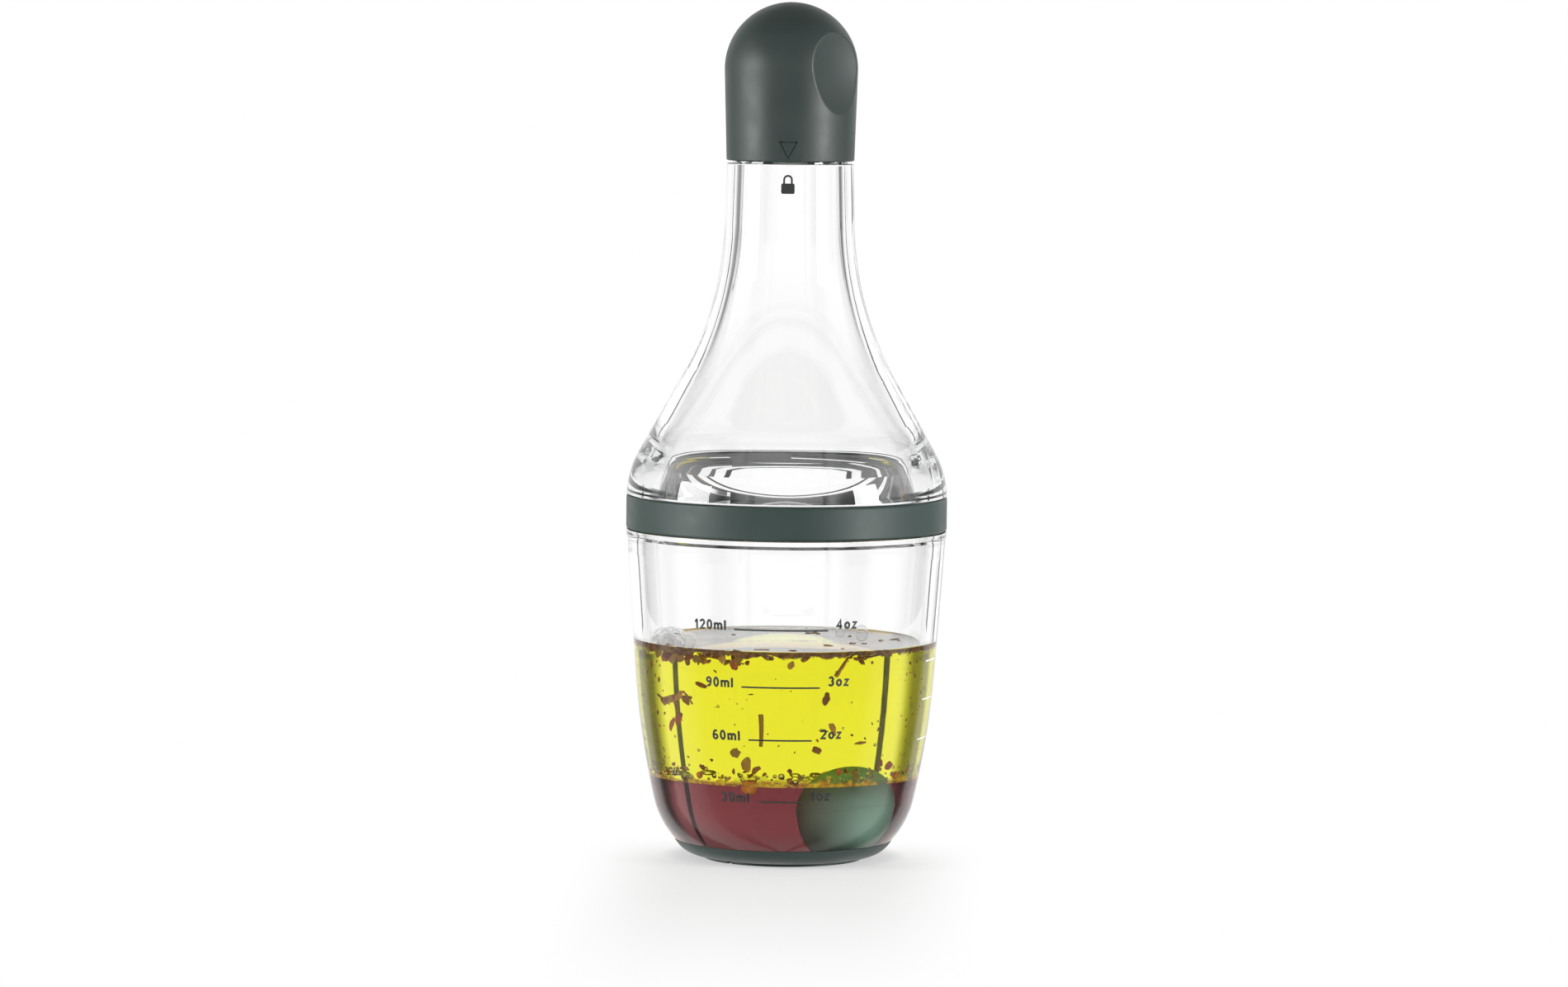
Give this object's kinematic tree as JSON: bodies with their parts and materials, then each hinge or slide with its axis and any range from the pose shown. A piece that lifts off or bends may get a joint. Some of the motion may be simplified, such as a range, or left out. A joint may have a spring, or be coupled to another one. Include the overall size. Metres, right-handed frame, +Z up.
{
  "type": "salad dressing shaker bottle",
  "caption": "Clear shaker bottle for salad dressing: tapered cup on a soft foot, screw-on funnel neck, soft band at the joint, domed screw cap with stopper, and a loose mixing ball.",
  "frame": {"origin": "middle of the foot, on the surface the bottle stands on", "axes": "+Z up along the bottle's axis, -Y towards the front with the printed scale and the cap's pointer"},
  "size_m": [0.07, 0.07, 0.1869],
  "materials": {
    "clear_plastic": "clear, polished",
    "dark_silicone": "satin, dark green-grey",
    "cap_plastic": "soft satin, dark green-grey",
    "liner_plastic": "matt, light grey",
    "seal_silicone": "matt, translucent grey",
    "ball_silicone": "matt, grey-green"
  },
  "bodies": {
    "cup": {"cup": "clear_plastic", "foot_pad": "dark_silicone", "seal_band": "dark_silicone"},
    "rim_seal": {"rim_gasket": "dark_silicone"},
    "neck": {"neck": "clear_plastic", "pour_spout": "liner_plastic"},
    "stopper": {"cap_stopper": "seal_silicone"},
    "cap": {"cap_cover": "cap_plastic", "cap_liner": "liner_plastic"},
    "ball": {"mixing_ball": "ball_silicone"}
  },
  "joints": [
    {"name": "neck_rise", "type": "slide", "parent": "cup", "child": "rim_seal", "axis": [0, 0, 1], "range_m": [0, 0.009]},
    {"name": "neck_turn", "type": "hinge", "parent": "rim_seal", "child": "neck", "pos_m": [0, 0, 0.0796], "axis": [0, 0, 1], "range_deg": [0, 300]},
    {"name": "cap_rise", "type": "slide", "parent": "neck", "child": "stopper", "axis": [0, 0, 1], "range_m": [0, 0.0105]},
    {"name": "cap_turn", "type": "hinge", "parent": "stopper", "child": "cap", "pos_m": [0, 0, 0.1629], "axis": [0, 0, 1], "range_deg": [0, 270]},
    {"name": "ball_rise", "type": "slide", "parent": "cup", "child": "ball", "axis": [0, 0, 1], "range_m": [0, 0.075]}
  ],
  "couplings": [
    {"joint": "neck_rise", "follows": "neck_turn", "m_per_rad": 0.0017189},
    {"joint": "cap_rise", "follows": "cap_turn", "m_per_rad": 0.0022282}
  ]
}
